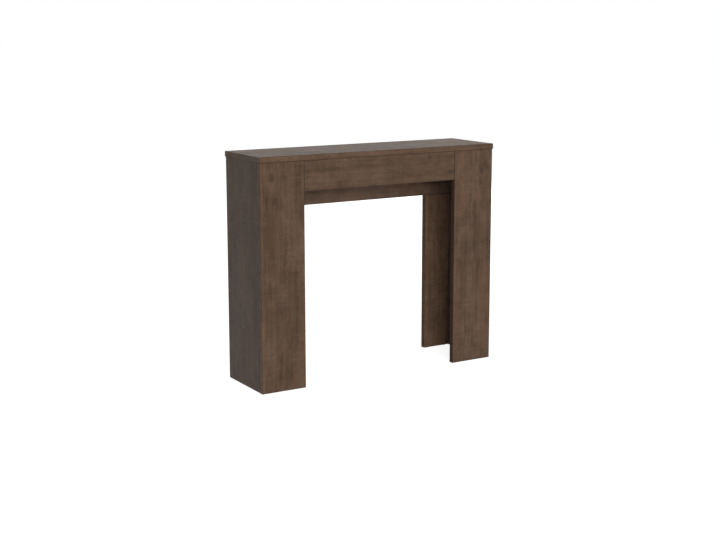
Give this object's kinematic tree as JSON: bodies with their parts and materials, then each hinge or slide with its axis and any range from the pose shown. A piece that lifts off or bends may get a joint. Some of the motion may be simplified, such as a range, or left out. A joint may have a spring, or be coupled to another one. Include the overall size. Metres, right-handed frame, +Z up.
{
  "type": "extending console table",
  "caption": "Slim console table of dark wood boards whose rear leg frame slides out on telescopic runners to open into a longer table.",
  "frame": {"origin": "on the floor, in the middle of the closed table's width and depth", "axes": "+X to the table's right, +Y to the back, the way the rear frame slides out, +Z up"},
  "size_m": [0.9, 0.245, 0.757],
  "materials": {
    "walnut_board": "satin walnut melamine",
    "dowel_wood": "raw beech",
    "runner_aluminium": "satin anodised",
    "slide_nylon": "moulded nylon",
    "glide_nylon": "white moulded nylon",
    "cap_plastic": "matt",
    "sheet_steel": "zinc plated",
    "screw_steel": "zinc plated",
    "cast_zinc": "raw die cast"
  },
  "bodies": {
    "console": {"cam_bolts": "cast_zinc", "cam_discs": "cast_zinc", "front_apron": "walnut_board", "left_front_stile": "walnut_board", "left_joining_plate": "sheet_steel", "left_side_panel": "walnut_board", "left_top_bracket": "sheet_steel", "left_wall_rail": "runner_aluminium", "middle_top_bracket": "sheet_steel", "panel_dowels": "dowel_wood", "right_front_stile": "walnut_board", "right_joining_plate": "sheet_steel", "right_side_panel": "walnut_board", "right_top_bracket": "sheet_steel", "right_wall_rail": "runner_aluminium", "table_top": "walnut_board", "wall_rail_shoes": "slide_nylon"},
    "stage_1": {"left_stage_1_rail": "runner_aluminium", "right_stage_1_rail": "runner_aluminium", "stage_1_nylon": "slide_nylon"},
    "stage_2": {"left_stage_2_rail": "runner_aluminium", "right_stage_2_rail": "runner_aluminium", "stage_2_nylon": "slide_nylon"},
    "stage_3": {"left_stage_3_rail": "runner_aluminium", "right_stage_3_rail": "runner_aluminium", "stage_3_nylon": "slide_nylon"},
    "stage_4": {"left_stage_4_rail": "runner_aluminium", "right_stage_4_rail": "runner_aluminium", "stage_4_nylon": "slide_nylon"},
    "stage_5": {"left_stage_5_rail": "runner_aluminium", "right_stage_5_rail": "runner_aluminium", "stage_5_nylon": "slide_nylon"},
    "stage_6": {"left_stage_6_rail": "runner_aluminium", "right_stage_6_rail": "runner_aluminium", "stage_6_nylon": "slide_nylon"},
    "stage_7": {"left_stage_7_rail": "runner_aluminium", "right_stage_7_rail": "runner_aluminium", "stage_7_nylon": "slide_nylon"},
    "rear_frame": {"end_rail_guides": "slide_nylon", "floor_glides": "glide_nylon", "left_end_rail": "runner_aluminium", "left_frame_bracket": "sheet_steel", "left_rear_stile": "walnut_board", "rear_rail": "walnut_board", "right_end_rail": "runner_aluminium", "right_frame_bracket": "sheet_steel", "right_rear_stile": "walnut_board"}
  },
  "joints": [
    {"name": "rear_frame_slide", "type": "slide", "parent": "console", "child": "rear_frame", "axis": [0, 1, 0], "range_m": [0, 1]},
    {"name": "stage_1_slide", "type": "slide", "parent": "console", "child": "stage_1", "axis": [0, 1, 0], "range_m": [0, 0.125]},
    {"name": "stage_2_slide", "type": "slide", "parent": "console", "child": "stage_2", "axis": [0, 1, 0], "range_m": [0, 0.25]},
    {"name": "stage_3_slide", "type": "slide", "parent": "console", "child": "stage_3", "axis": [0, 1, 0], "range_m": [0, 0.375]},
    {"name": "stage_4_slide", "type": "slide", "parent": "console", "child": "stage_4", "axis": [0, 1, 0], "range_m": [0, 0.5]},
    {"name": "stage_5_slide", "type": "slide", "parent": "console", "child": "stage_5", "axis": [0, 1, 0], "range_m": [0, 0.625]},
    {"name": "stage_6_slide", "type": "slide", "parent": "console", "child": "stage_6", "axis": [0, 1, 0], "range_m": [0, 0.75]},
    {"name": "stage_7_slide", "type": "slide", "parent": "console", "child": "stage_7", "axis": [0, 1, 0], "range_m": [0, 0.875]}
  ],
  "couplings": [
    {"joint": "stage_1_slide", "follows": "rear_frame_slide", "ratio": 0.125},
    {"joint": "stage_2_slide", "follows": "rear_frame_slide", "ratio": 0.25},
    {"joint": "stage_3_slide", "follows": "rear_frame_slide", "ratio": 0.375},
    {"joint": "stage_4_slide", "follows": "rear_frame_slide", "ratio": 0.5},
    {"joint": "stage_5_slide", "follows": "rear_frame_slide", "ratio": 0.625},
    {"joint": "stage_6_slide", "follows": "rear_frame_slide", "ratio": 0.75},
    {"joint": "stage_7_slide", "follows": "rear_frame_slide", "ratio": 0.875}
  ]
}
